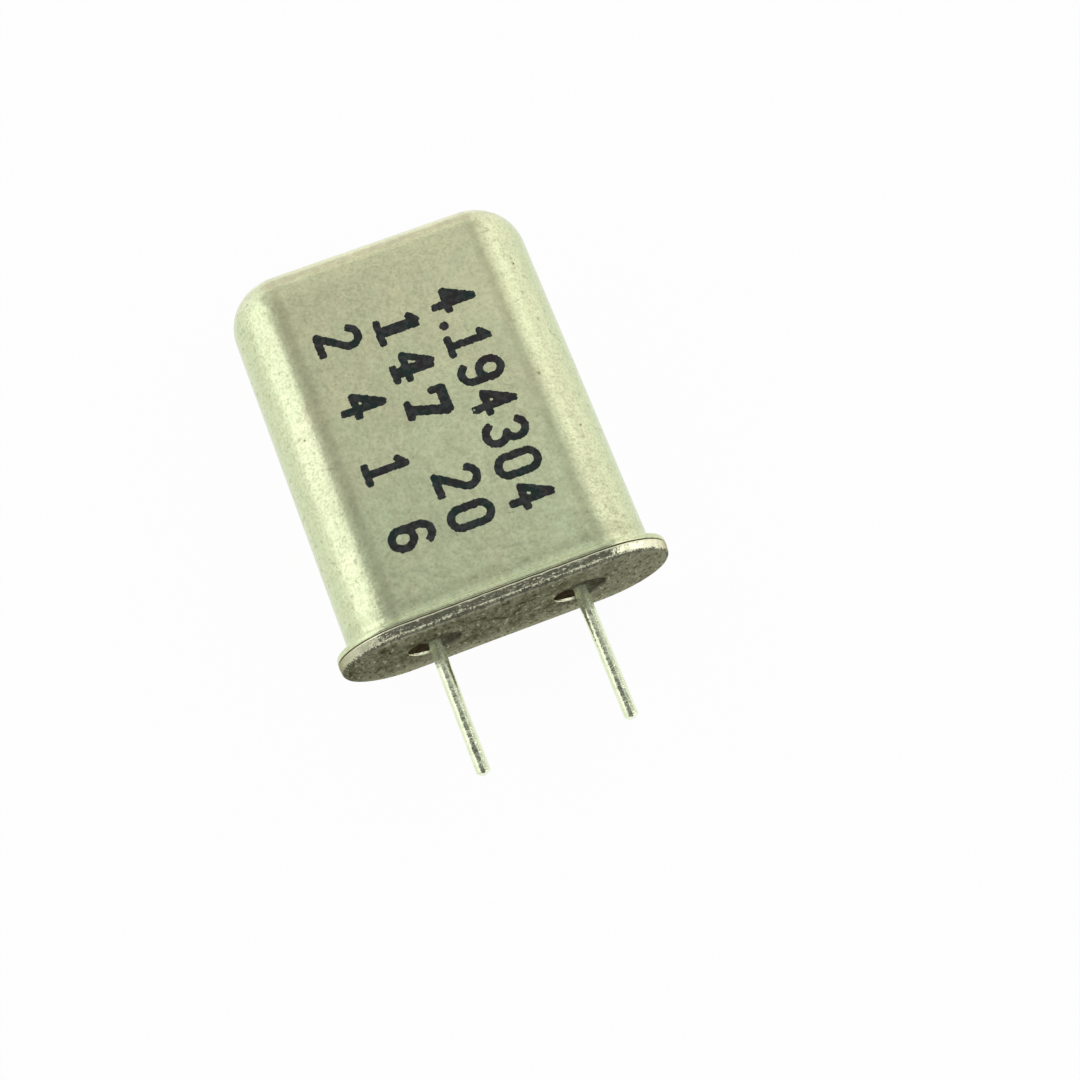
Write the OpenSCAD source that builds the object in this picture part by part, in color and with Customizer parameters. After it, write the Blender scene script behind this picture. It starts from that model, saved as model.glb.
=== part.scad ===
// Two-lead quartz crystal unit in a resistance-welded metal holder.
//
// The unit lies on its back. X runs across the can, +Y runs from the
// seating plane to the closed end, and +Z is the front face of the can.
// The origin is on the seating plane, midway between the two leads.
//
// Each piece is drawn upright, with the leads down, and is then laid on its
// back by lie_down(). In the upright drawing Z is the height above the
// seating plane, X runs across the can and Y through its thickness.

/* [Can] */
// Width of the can across its round ends
can_w = 10.12; // [8.2:0.02:16]
// Thickness of the can from its front face to its back face
can_t = 3.7; // [3:0.05:5]
// Height of the closed end above the seating plane
unit_h = 13.46; // [11:0.02:20]
// Thickness of the drawn sheet
sheet_t = 0.22; // [0.15:0.01:0.35]
// Outside radius of the edge round the closed end
crown_r = 1.6; // [0.5:0.05:1.8]
// Inside radius of the bend that turns the wall out into the flange
bend_r = 0.18; // [0.05:0.01:0.35]
// Radius of the rolled edge of the can's flange
flange_edge_r = 0.07; // [0.02:0.01:0.07]

/* [Base] */
// Width of both flanges outside the wall of the can
flange_w = 0.45; // [0.4:0.01:1]
// Thickness of the base's flange
base_t = 0.4; // [0.3:0.05:0.8]
// Radius of the lower edge of the base's flange, drawn over by the punch
base_roll_r = 0.18; // [0.05:0.01:0.18]
// Radius of the upper edge of the base's flange
base_edge_r = 0.06; // [0.02:0.01:0.06]
// Height of the plateau that stands up inside the can, above the flange
plateau_h = 0.85; // [0.5:0.05:1.5]
// Radius of the upper edge of the plateau
plateau_r = 0.2; // [0.05:0.05:0.4]
// Clearance between the plateau and the inside of the can
plateau_gap = 0.08; // [0.03:0.01:0.2]

/* [Leads] */
// Distance between the two leads
lead_pitch = 4.88; // [4:0.02:6.4]
// Diameter of a lead over its tin coat
lead_d = 0.46; // [0.3:0.01:0.8]
// Thickness of the tin coat
tin_t = 0.015; // [0.005:0.005:0.03]
// Length of bare wire between the seating plane and the tin coat
bare_len = 0.1; // [0.05:0.05:0.5]
// Length over which the tin coat thins out towards the bare wire
tin_fade = 0.55; // [0.52:0.01:1]
// Length of a lead below the seating plane
lead_len = 4.4; // [2:0.1:14]
// Height of the cutter's wedge at the tip of a lead
tip_h = 0.09; // [0.02:0.01:0.15]
// Length of a lead above the plateau, inside the can
post_h = 1.05; // [0.8:0.05:1.4]
// Depth of the coined flat that takes the clip
coined_t = 0.06; // [0.02:0.01:0.08]

/* [Glass seals] */
// Wall of glass between a lead and the base
glass_wall = 0.66; // [0.4:0.02:0.75]
// Depth of the seal's rim below the base's lower face
seal_recess = 0.12; // [0.05:0.01:0.2]
// Depth of the hollow that the glass draws between lead and base
meniscus = 0.1; // [0.04:0.01:0.16]
// Size of the bevel round the mouth of each seal
mouth_bevel = 0.07; // [0.02:0.01:0.12]

/* [Quartz] */
// Thickness of the quartz blank at its centre
blank_t = 0.42; // [0.2:0.01:0.7]
// Thickness of the blank at its bevelled rim
rim_t = 0.26; // [0.1:0.01:0.5]
// Width of the bevel round the blank
rim_w = 0.7; // [0.3:0.05:1]
// Clearance between the rim of the blank and the round ends of the can
blank_side_gap = 0.84; // [0.6:0.02:1.4]
// Least clearance between the blank and the ends of the space it stands in
blank_end_gap = 0.65; // [0.4:0.05:1.5]
// Diameter of the electrode spot
spot_d = 4.4; // [2:0.1:4.6]
// Width of the electrode's tab
tab_w = 1.1; // [0.5:0.1:1.5]
// Thickness of the silver film
film_t = 0.03; // [0.02:0.005:0.05]

/* [Clips] */
// Thickness of the clip's ribbon
ribbon_t = 0.1; // [0.06:0.01:0.16]
// Width of the clip's ribbon
ribbon_w = 1.3; // [1:0.05:1.8]
// Radius of the clip's bends, at the middle of the ribbon
ribbon_r = 0.35; // [0.2:0.05:0.6]
// Length of the foot that is welded to the lead
foot_h = 0.7; // [0.4:0.05:0.75]
// Rise of the sloping arm between the foot and the upright
arm_rise = 1.1; // [0.9:0.05:1.6]
// Height of the clip's upright beyond each end of its slot
slot_end = 0.45; // [0.3:0.05:0.8]
// Clearance between the slot and the blank
slot_gap = 0.05; // [0.02:0.01:0.12]
// Depth of the blank's rim in the slot
slot_bite = 0.2; // [0.15:0.01:0.35]
// Radius of a dab of conductive cement
dab_r = 0.52; // [0.4:0.02:0.7]

/* [Hidden] */

// Reach of a cutting solid past the face that it cuts
over = 1;
// Facets on a full turn where the section is seen at a small radius
fine = 48;
// Facets on a full turn of the body
body_fn = 96;
// Steps along one bend of the clip's ribbon
bend_steps = 10;

// Outside and inside radius of the round ends, and the straight between them
end_r = can_t / 2;
inner_r = end_r - sheet_t;
straight = can_w - can_t;
flange_r = end_r + flange_w;
// The edge of the closed end stays short of half the can's thickness
crown = min(crown_r, end_r - 0.05);
// The roll takes up no more than half of the base's thickness
base_roll = min(base_roll_r, base_t / 2);

// Heights above the seating plane
flange_top = base_t + sheet_t;
plateau_top = base_t + plateau_h;
post_top = plateau_top + post_h;
ceiling = unit_h - sheet_t;

// Leads and their seals
tinned_r = lead_d / 2;
wire_r = tinned_r - tin_t;
tinned_len = lead_len - bare_len - tin_fade;
seal_r = wire_r + glass_wall;
lead_x = lead_pitch / 2;

// The blank stands in the middle of the space over the plateau
blank_z = (plateau_top + ceiling) / 2;
blank_r = min(can_w / 2 - sheet_t - blank_side_gap,
              (ceiling - plateau_top) / 2 - blank_end_gap);

// The clip's foot, its upright and the slot that takes the blank's rim
foot_x = lead_x + wire_r - coined_t + ribbon_t / 2;
upright_x = blank_r - slot_bite + ribbon_t / 2;
bite_x = upright_x - ribbon_t / 2;
slot_w = blank_t + 2 * slot_gap;
slot_h = 2 * (sqrt(pow(blank_r, 2) - pow(bite_x, 2)) + slot_gap);
clip_top = blank_z + slot_h / 2 + slot_end;

// The clip's two equal bends turn by the angle at which the straight arm
// between them just joins them
bends_r = 2 * ribbon_r;
arm_dx = upright_x - foot_x;
arm_angle = asin(bends_r / norm([arm_rise, bends_r - arm_dx]))
          - atan2(bends_r - arm_dx, arm_rise);

// Lays an upright piece on its back
module lie_down() {
    rotate([-90, 0, 0]) children();
}

// Carries a section round the stadium outline of the can. The section's x
// is the distance from the middle line of a round end, and its y is height.
module round_the_can() {
    for (turn = [0, 180])
        rotate([0, 0, turn]) {
            translate([straight / 2, 0, 0])
                rotate([0, 0, -90])
                    rotate_extrude(angle = 180, $fn = body_fn) children();
            translate([-straight / 2, 0, 0])
                rotate([90, 0, 90])
                    linear_extrude(height = straight) children();
        }
}

// A rectangle from the middle line out to r, with its upper corner rounded
module rounded_top(r, h, corner_r) {
    square([r, h - corner_r]);
    square([r - corner_r, h]);
    translate([r - corner_r, h - corner_r]) intersection() {
        circle(corner_r, $fn = body_fn);
        square(corner_r);
    }
}

// A flange's section, from the middle line out, with both corners rounded
module flange_section(r, h, low_r, high_r) {
    translate([0, low_r]) square([r, h - low_r - high_r]);
    translate([0, low_r]) square([r - high_r, h - low_r]);
    square([r - low_r, h - high_r]);
    translate([r - low_r, low_r]) circle(low_r, $fn = fine);
    translate([r - high_r, h - high_r]) circle(high_r, $fn = fine);
}

// The drawn sheet of the can: a closed end with a rounded edge, a straight
// wall, and a bend of even thickness that runs out into the flange
module can_section() {
    bend_x = end_r + bend_r;
    bend_z = flange_top + bend_r;
    difference() {
        union() {
            translate([0, base_t]) rounded_top(end_r, unit_h - base_t, crown);
            translate([0, base_t])
                flange_section(flange_r, sheet_t, flange_edge_r, flange_edge_r);
            translate([end_r - sheet_t / 2, base_t])
                square([bend_r + sheet_t / 2, sheet_t + bend_r]);
        }
        translate([bend_x, bend_z]) circle(bend_r, $fn = fine);
        translate([0, -over])
            rounded_top(inner_r, ceiling + over, crown - sheet_t);
        difference() {
            translate([inner_r - over, base_t - over])
                square([bend_x - inner_r + over, bend_z - base_t + over]);
            translate([bend_x, bend_z])
                circle(bend_r + sheet_t, $fn = fine);
        }
    }
}

module can() {
    color([0.72, 0.73, 0.6]) lie_down() round_the_can() can_section();
}

// Puts one cutter or piece at each lead
module at_leads() {
    for (side = [-1, 1])
        translate([side * lead_x, 0, 0]) children();
}

// The base: a flange that the can is welded to, a plateau inside the can,
// and an eyelet round each lead
module base_plate() {
    color([0.5, 0.49, 0.44]) lie_down() difference() {
        round_the_can() {
            flange_section(flange_r, base_t, base_roll, base_edge_r);
            rounded_top(inner_r - plateau_gap, plateau_top, plateau_r);
        }
        at_leads() {
            translate([0, 0, -over])
                cylinder(r = seal_r, h = plateau_top + 2 * over, $fn = fine);
            translate([0, 0, -mouth_bevel])
                cylinder(r1 = seal_r + 2 * mouth_bevel, r2 = seal_r,
                         h = 2 * mouth_bevel, $fn = fine);
        }
    }
}

// The seal's section: a ring of glass with a hollow meniscus under it. The
// hollow is the arc through both rims of the ring that is as deep as named.
module seal_section() {
    half = glass_wall / 2;
    hollow_r = (pow(half, 2) + pow(meniscus, 2)) / (2 * meniscus);
    difference() {
        translate([wire_r, seal_recess])
            square([glass_wall, plateau_top - seal_recess]);
        translate([wire_r + half, seal_recess + meniscus - hollow_r])
            circle(hollow_r, $fn = body_fn);
    }
}

module glass_seal(side) {
    color([0.2, 0.26, 0.25]) lie_down()
        translate([side * lead_x, 0, 0])
            rotate_extrude($fn = fine) seal_section();
}

// A straight wire, tinned below the base, with a wedge where the cutter
// parted it and a coined flat on the outer side of its post
module lead(side) {
    wedge_angle = atan(tip_h / tinned_r);
    color([0.78, 0.79, 0.74]) lie_down()
        translate([side * lead_x, 0, 0])
            difference() {
                union() {
                    translate([0, 0, -lead_len])
                        cylinder(r = tinned_r, h = tinned_len, $fn = fine);
                    translate([0, 0, tinned_len - lead_len])
                        cylinder(r1 = tinned_r, r2 = wire_r, h = tin_fade,
                                 $fn = fine);
                    translate([0, 0, -bare_len])
                        cylinder(r = wire_r, h = bare_len + post_top, $fn = fine);
                }
                for (face = [-1, 1])
                    translate([0, 0, -lead_len])
                        rotate([0, -face * wedge_angle, 0])
                            translate([face > 0 ? 0 : -lead_d, -lead_d, -over])
                                cube([lead_d, 2 * lead_d, over]);
                translate([side * (wire_r - coined_t + lead_d / 2), 0,
                           post_top - foot_h + over / 2])
                    cube([lead_d, 2 * lead_d, foot_h + over], center = true);
            }
}

// One edge of the ribbon's course from foot to top, at a distance to the
// left of its middle line. The course runs straight up from the weld, bends
// outwards, and bends back up past the rim of the blank.
function ribbon_edge(left) = concat(
    [[foot_x - left, post_top - foot_h]],
    [for (step = [0 : bend_steps])
        let (turned = arm_angle * step / bend_steps)
        [foot_x + ribbon_r, post_top]
            + (ribbon_r + left) * [-cos(turned), sin(turned)]],
    [for (step = [bend_steps : -1 : 0])
        let (turned = arm_angle * step / bend_steps)
        [upright_x - ribbon_r, post_top + arm_rise]
            + (ribbon_r - left) * [cos(turned), -sin(turned)]],
    [[upright_x - left, clip_top]]
);

function reversed(points) =
    [for (i = [len(points) - 1 : -1 : 0]) points[i]];

module ribbon_course() {
    polygon(concat(ribbon_edge(ribbon_t / 2),
                   reversed(ribbon_edge(-ribbon_t / 2))));
}

// A clip in the upright drawing, for the right-hand lead
module clip_form() {
    difference() {
        rotate([90, 0, 0])
            linear_extrude(height = ribbon_w, center = true) ribbon_course();
        translate([upright_x, 0, blank_z])
            cube([over, slot_w, slot_h], center = true);
    }
}

// Turns the right-hand form to the side that is asked for
module on_side(side) {
    rotate([0, 0, side > 0 ? 0 : 180]) children();
}

module spring_clip(side) {
    color([0.75, 0.74, 0.7]) lie_down() on_side(side) clip_form();
}

// The blank's disc, thicker all round by grow: flat faces with a bevel that
// thins them towards the rim
module blank_form(grow = 0) {
    translate([0, 0, blank_z])
        rotate([90, 0, 0])
            rotate_extrude($fn = body_fn)
                polygon([[0, -blank_t / 2 - grow],
                         [blank_r - rim_w, -blank_t / 2 - grow],
                         [blank_r, -rim_t / 2 - grow],
                         [blank_r, rim_t / 2 + grow],
                         [blank_r - rim_w, blank_t / 2 + grow],
                         [0, blank_t / 2 + grow]]);
}

module quartz_blank() {
    color([0.86, 0.9, 0.9, 0.6]) lie_down() blank_form();
}

// The keyhole outline of an electrode for the right-hand clip: a round spot
// and a tab that runs out to the rim
module keyhole() {
    circle(d = spot_d, $fn = body_fn);
    translate([0, -tab_w / 2]) square([blank_r, tab_w]);
}

// A silver film that follows the face and the bevel of the blank
module film_form(side) {
    intersection() {
        difference() {
            blank_form(film_t);
            blank_form();
        }
        on_side(side)
            translate([0, 0, blank_z])
                rotate([90, 0, 0])
                    linear_extrude(height = blank_t) keyhole();
    }
}

module electrode(side) {
    color([0.85, 0.85, 0.83]) lie_down() film_form(side);
}

// A dab of cement that joins the rim of the blank, the film and the clip
module cement(side) {
    color([0.6, 0.58, 0.52]) lie_down() difference() {
        on_side(side)
            translate([upright_x, 0, blank_z]) sphere(dab_r, $fn = fine);
        blank_form();
        on_side(side) clip_form();
        film_form(side);
    }
}

can();
base_plate();
glass_seal(-1);  // glass_seal_left
glass_seal(1);  // glass_seal_right
lead(-1);  // lead_left
lead(1);  // lead_right
spring_clip(-1);  // spring_clip_left
spring_clip(1);  // spring_clip_right
quartz_blank();
electrode(1);  // electrode_front
electrode(-1);  // electrode_back
cement(-1);  // cement_left
cement(1);  // cement_right
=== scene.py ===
"""Looks of a two-lead quartz crystal unit that lies on its back: satin drawn can, welded base, glass
seals, tinned leads and a printed marking. Lengths inside the shape functions are in millimetres, and
add_piece() turns them into metres. X runs across the can, +Y to its closed end, +Z out of its front
face."""

import math

import bmesh
import bpy
import numpy as np
from mathutils import Matrix, Vector


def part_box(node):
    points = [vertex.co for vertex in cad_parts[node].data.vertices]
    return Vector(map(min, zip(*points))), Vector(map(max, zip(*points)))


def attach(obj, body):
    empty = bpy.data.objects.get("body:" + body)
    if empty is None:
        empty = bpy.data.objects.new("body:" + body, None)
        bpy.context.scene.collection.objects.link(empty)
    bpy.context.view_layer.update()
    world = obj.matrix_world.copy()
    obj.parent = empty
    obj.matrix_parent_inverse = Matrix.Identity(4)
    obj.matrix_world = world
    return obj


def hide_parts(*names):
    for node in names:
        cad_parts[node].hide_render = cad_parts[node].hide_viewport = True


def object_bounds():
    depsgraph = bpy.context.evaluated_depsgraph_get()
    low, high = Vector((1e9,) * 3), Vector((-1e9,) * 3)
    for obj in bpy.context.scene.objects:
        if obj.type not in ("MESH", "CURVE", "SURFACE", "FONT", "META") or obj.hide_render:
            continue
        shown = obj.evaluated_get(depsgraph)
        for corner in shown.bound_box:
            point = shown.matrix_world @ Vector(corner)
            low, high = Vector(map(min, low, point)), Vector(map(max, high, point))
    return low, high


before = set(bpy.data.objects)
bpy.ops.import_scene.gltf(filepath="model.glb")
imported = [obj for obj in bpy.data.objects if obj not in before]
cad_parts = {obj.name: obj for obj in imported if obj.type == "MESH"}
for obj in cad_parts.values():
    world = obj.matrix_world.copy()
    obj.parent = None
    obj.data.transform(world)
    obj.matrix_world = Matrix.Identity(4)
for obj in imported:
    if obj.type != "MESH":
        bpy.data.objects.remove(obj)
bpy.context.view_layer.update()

MM = 0.001

# ---------------------------------------------------------------- sizes in mm, as the CAD part has them
SHEET_T = 0.22
FLANGE_W = 0.45
BEND_R = 0.18
CROWN_R = 1.6
BASE_ROLL_R = 0.18
BASE_EDGE_R = 0.06
PLATEAU_R = 0.2
PLATEAU_GAP = 0.08
TIN_T = 0.015
BARE_LEN = 0.1
TIN_FADE = 0.55
TIP_H = 0.09
COINED_T = 0.06
SEAL_RECESS = 0.12
MENISCUS = 0.1
MOUTH_BEVEL = 0.07

# ---------------------------------------------------------------- this model's own sizes, steps and the seam's painted shade
FLANGE_TOP_R = 0.12
FLANGE_LOW_R = 0.04
RIM_LEAN = 7.0
RIM_WAVE = 0.006
TIP_ROUND = 0.03
TIP_REACH = 0.2
TIN_LUMPS = 0.016
CAP_STEPS = 64
STRAIGHT_STEPS = 40
SPLIT_POINTS = 13
SEAL_STEPS = 72
LEAD_STEPS = 48
# Painted shade: the brown of the seam between the can's flange and the base
SEAM_SHADE_BROWN = (0.150, 0.120, 0.062)


def node_box(name):
    """Lowest and highest corner of a CAD node, in millimetres."""
    low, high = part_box(name)
    return np.array(low) / MM, np.array(high) / MM


can_low, can_high = node_box("can")
_, base_high = node_box("base_plate")
seal_low, seal_high = node_box("glass_seal_right")
lead_low, lead_high = node_box("lead_right")

FLANGE_R = can_high[2]
END_R = FLANGE_R - FLANGE_W
INNER_R = END_R - SHEET_T
HALF_STRAIGHT = can_high[0] - FLANGE_R
UNIT_H = can_high[1]
BASE_T = can_low[1]
FLANGE_TOP = BASE_T + SHEET_T
PLATEAU_TOP = base_high[1]
LEAD_X = (lead_low[0] + lead_high[0]) / 2
LEAD_LEN = -lead_low[1]
POST_TOP = lead_high[1]
TINNED_R = lead_high[2]
WIRE_R = TINNED_R - TIN_T
SEAL_R = (seal_high[0] - seal_low[0]) / 2


# ---------------------------------------------------------------- profiles and outlines
def line(start, end, steps):
    """Points from start to end at equal steps, both ends included."""
    share = np.linspace(0, 1, steps + 1)[:, None]
    return np.array(start) * (1 - share) + np.array(end) * share


def arc(centre, radius, from_deg, to_deg, steps):
    """Points on a circle: centre + radius (cos a, sin a), with a going evenly between two angles."""
    a = np.radians(np.linspace(from_deg, to_deg, steps + 1))
    return np.array(centre) + radius * np.stack([np.cos(a), np.sin(a)], 1)


def joined(*runs):
    """Runs of points as one path, where a run's first point is dropped if it repeats the last one."""
    path = [runs[0]]
    for run in runs[1:]:
        repeats = np.allclose(path[-1][-1], run[0], atol=1e-7)
        path.append(run[1:] if repeats else run)
    return np.concatenate(path)


def outline_stations():
    """Places round the stadium outline, as (foot, normal). The foot is on the middle line of the can, and
    the outline at distance r is foot + r normal. It starts on the front face at the right and runs over
    the front, the left end, the back and the right end."""
    across = line((HALF_STRAIGHT, 0), (-HALF_STRAIGHT, 0), STRAIGHT_STEPS)[:-1]
    left_turn = arc((0, 0), 1, 90, 270, CAP_STEPS)[:-1]
    up = np.tile([0.0, 1.0], (STRAIGHT_STEPS, 1))
    left_foot = np.tile([-HALF_STRAIGHT, 0.0], (CAP_STEPS, 1))
    foot = np.concatenate([across, left_foot, -across, -left_foot])
    normal = np.concatenate([up, left_turn, -up, -left_turn])
    return foot, normal


def swept(foot, normal, profile):
    """The surface that carries a profile of (distance r, height h) round the outline:
    point (station i, profile j) = (foot x + r normal x, h, foot z + r normal z)."""
    r = profile[None, :, 0]
    x = foot[:, None, 0] + r * normal[:, None, 0]
    z = foot[:, None, 1] + r * normal[:, None, 1]
    y = np.broadcast_to(profile[None, :, 1], x.shape)
    return np.stack([x, y, z], 2)


def revolved(profile, centre_x, steps):
    """The surface that turns a profile of (radius r, height h) about a lead's axis:
    point (angle a, profile j) = (centre x + r cos a, h, r sin a)."""
    a = np.linspace(0, 2 * np.pi, steps, endpoint=False)[:, None]
    r = profile[None, :, 0]
    x = centre_x + r * np.cos(a)
    z = r * np.sin(a)
    y = np.broadcast_to(profile[None, :, 1], x.shape)
    return np.stack([x, y, z], 2)


def grid_quads(rows, columns, close_rows=False, close_columns=False, first=0):
    """Four corners for each cell of a grid of rows x columns points, the last row or column joined to the
    first where it closes. The grid's first point has the number first."""
    i = np.arange(rows if close_rows else rows - 1)
    j = np.arange(columns if close_columns else columns - 1)
    i, j = np.meshgrid(i, j, indexing="ij")
    i2, j2 = (i + 1) % rows, (j + 1) % columns
    corners = [i * columns + j, i2 * columns + j, i2 * columns + j2, i * columns + j2]
    return np.stack(corners, 2).reshape(-1, 4) + first


def mesh_of(name, points, quads):
    """A mesh from points in millimetres and quads. Seams and poles are merged, and faces turned
    outwards."""
    mesh = bpy.data.meshes.new(name)
    mesh.vertices.add(len(points))
    mesh.vertices.foreach_set("co", (np.asarray(points, float) * MM).astype(np.float32).ravel())
    mesh.loops.add(quads.size)
    mesh.loops.foreach_set("vertex_index", quads.astype(np.int32).ravel())
    mesh.polygons.add(len(quads))
    mesh.polygons.foreach_set("loop_start", np.arange(0, quads.size, 4, dtype=np.int32))
    mesh.update(calc_edges=True)
    shape = bmesh.new()
    shape.from_mesh(mesh)
    bmesh.ops.remove_doubles(shape, verts=shape.verts, dist=2e-8)
    bmesh.ops.recalc_face_normals(shape, faces=shape.faces)
    shape.to_mesh(mesh)
    shape.free()
    mesh.validate()
    mesh.polygons.foreach_set("use_smooth", np.ones(len(mesh.polygons), bool))
    mesh.update()
    return mesh


def add_piece(name, points, quads, material, slot, *stands_for):
    """Puts a finished surface in the scene, riding on the part, with its material and the nodes it stands
    for."""
    piece = bpy.data.objects.new(name, mesh_of(name, points, quads))
    bpy.context.scene.collection.objects.link(piece)
    piece.data.materials.append(material)
    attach(piece, "root")
    if stands_for:
        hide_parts(*stands_for)


# ---------------------------------------------------------------- small unevenness of drawn sheet
def smooth_step(x, low, high):
    """0 below low, 1 above high, and 3t^2 - 2t^3 between them."""
    t = np.clip((x - low) / (high - low), 0, 1)
    return t * t * (3 - 2 * t)


def sheet_wave(x, y):
    """How far the sheet stands out of true, in mm: a shallow hollow along the middle of the face, and slow
    waves, each the product of two sines."""
    hollow = -0.010 * smooth_step(HALF_STRAIGHT - np.abs(x), -0.1, 1.5)
    hollow = hollow * smooth_step(y, FLANGE_TOP + 0.3, FLANGE_TOP + 2.5)
    hollow = hollow * smooth_step(UNIT_H - CROWN_R - y, -0.2, 1.6)
    waves = 0.0022 * np.sin(0.9 * x + 0.6) * np.sin(0.55 * y + 1.1)
    waves = waves + 0.0012 * np.sin(1.7 * x - 0.8 * y + 2.0) * np.sin(1.2 * y + 0.3 * x)
    return hollow + waves * smooth_step(y, FLANGE_TOP, FLANGE_TOP + 1.5)


# ---------------------------------------------------------------- the can
def can_profile():
    """The can's sheet from the middle of its closed end, down the outside, round the flange and up the
    inside: a crown arc, a straight wall, a bend of even thickness and a flange with a rolled edge."""
    bend = np.array([END_R + BEND_R, FLANGE_TOP + BEND_R])
    crown_c = np.array([END_R - CROWN_R, UNIT_H - CROWN_R])
    outside = joined(
        line((0, UNIT_H), (crown_c[0], UNIT_H), 6),
        arc(crown_c, CROWN_R, 90, 0, 26),
        line((END_R, crown_c[1]), (END_R, bend[1]), 84),
        arc(bend, BEND_R, 180, 270, 10),
        line((bend[0], FLANGE_TOP), (FLANGE_R - FLANGE_TOP_R, FLANGE_TOP), 4),
        arc((FLANGE_R - FLANGE_TOP_R, FLANGE_TOP - FLANGE_TOP_R), FLANGE_TOP_R, 90, 0, 8),
        line((FLANGE_R, FLANGE_TOP - FLANGE_TOP_R), (FLANGE_R, BASE_T + FLANGE_LOW_R), 2),
        arc((FLANGE_R - FLANGE_LOW_R, BASE_T + FLANGE_LOW_R), FLANGE_LOW_R, 0, -90, 5),
    )
    inside = joined(
        line((FLANGE_R - FLANGE_LOW_R, BASE_T), (bend[0], BASE_T), 3),
        arc(bend, BEND_R + SHEET_T, 270, 180, 8),
        line((INNER_R, bend[1]), (INNER_R, crown_c[1]), 6),
        arc(crown_c, CROWN_R - SHEET_T, 0, 90, 10),
        line((crown_c[0], UNIT_H - SHEET_T), (0, UNIT_H - SHEET_T), 2),
    )
    return joined(outside, inside), len(outside)


def build_can(material):
    """The can's sheet carried round the outline, with the outside of its wall moved along the outline's
    normal by the wave."""
    foot, normal = outline_stations()
    profile, outside = can_profile()
    points = swept(foot, normal, profile)
    wall = (profile[:, 0] > END_R - 0.35) & (profile[:, 1] > FLANGE_TOP + 0.2)
    wall = wall & (np.arange(len(profile)) < outside)
    moved = sheet_wave(points[:, :, 0], points[:, :, 1]) * wall[None, :]
    points[:, :, 0] += moved * normal[:, None, 0]
    points[:, :, 2] += moved * normal[:, None, 1]
    quads = grid_quads(len(foot), len(profile), close_rows=True)
    add_piece("drawn_can", points.reshape(-1, 3), quads, material, "nickel_silver", "can")


# ---------------------------------------------------------------- the base
def right_half(ring):
    """The stations of a closed ring that lie on the right of the middle, from the back of the middle line
    round the right end to the front."""
    keep = np.where(ring[:, 0] > 1e-6)[0]
    start = keep[np.argmin(ring[keep, 0] + 1000 * (ring[keep, 1] > 0))]
    order = (start + np.arange(len(ring))) % len(ring)
    return ring[order[: len(keep)]]


def half_plate(outline_low, outline_high, side):
    """One half of the base's lower face, its seal hole and its plateau top. Each ring has as many points
    as the half outline with the split line at x = 0, and each point of the inner rings is on the ray from
    the hole's centre to the outline's point. Between two rings the surface is straight."""
    half_z = outline_low[:, 1].max()
    split = np.linspace(half_z, -half_z, SPLIT_POINTS)
    split_low = np.stack([np.zeros(SPLIT_POINTS), split], 1)
    split_high = np.stack([np.zeros(SPLIT_POINTS), split * outline_high[:, 1].max() / half_z], 1)
    low = np.concatenate([right_half(outline_low), split_low])
    high = np.concatenate([right_half(outline_high), split_high])
    centre = np.array([LEAD_X, 0])
    away = low - centre
    ray = away / np.linalg.norm(away, axis=1)[:, None]
    mouth = centre + (SEAL_R + MOUTH_BEVEL) * ray
    bore = centre + SEAL_R * ray
    rings = [
        (low, 0.0),
        *[(low * (1 - share) + mouth * share, 0.0) for share in np.linspace(0.12, 0.88, 7)],
        (centre + (SEAL_R + MOUTH_BEVEL + 0.02) * ray, 0.0),
        (mouth, 0.0),
        (centre + (SEAL_R + 0.6 * MOUTH_BEVEL) * ray, 0.3 * MOUTH_BEVEL),
        (centre + (SEAL_R + 0.22 * MOUTH_BEVEL) * ray, 0.62 * MOUTH_BEVEL),
        (bore, MOUTH_BEVEL),
        (bore, PLATEAU_TOP),
        (high, PLATEAU_TOP),
    ]
    return np.stack([
        np.stack([side * ring[:, 0], np.full(len(ring), height), ring[:, 1]], 1) for ring, height in rings
    ])


def base_rim_profile():
    """The base's edge from the lower face round the rolled edge, up the rim, which leans out by RIM_LEAN
    degrees, over its top and up the plateau to its top."""
    lean = math.radians(RIM_LEAN)
    top_c = np.array([FLANGE_R - BASE_EDGE_R, BASE_T - BASE_EDGE_R])
    rim_top = top_c + BASE_EDGE_R * np.array([math.cos(lean), -math.sin(lean)])
    roll_y = BASE_ROLL_R * (1 - math.sin(lean))
    rim_low_x = rim_top[0] - (rim_top[1] - roll_y) * math.tan(lean)
    low_x = rim_low_x - BASE_ROLL_R * math.cos(lean)
    plateau_x = INNER_R - PLATEAU_GAP
    return joined(
        line((low_x - 0.03, 0), (low_x, 0), 1),
        arc((low_x, BASE_ROLL_R), BASE_ROLL_R, -90, -RIM_LEAN, 16),
        line((rim_low_x, roll_y), rim_top, 5),
        arc(top_c, BASE_EDGE_R, -RIM_LEAN, 90, 8),
        line((top_c[0], BASE_T), (plateau_x, BASE_T), 2),
        line((plateau_x, BASE_T), (plateau_x, PLATEAU_TOP - PLATEAU_R), 2),
        arc((plateau_x - PLATEAU_R, PLATEAU_TOP - PLATEAU_R), PLATEAU_R, 0, 90, 5),
    )


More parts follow.
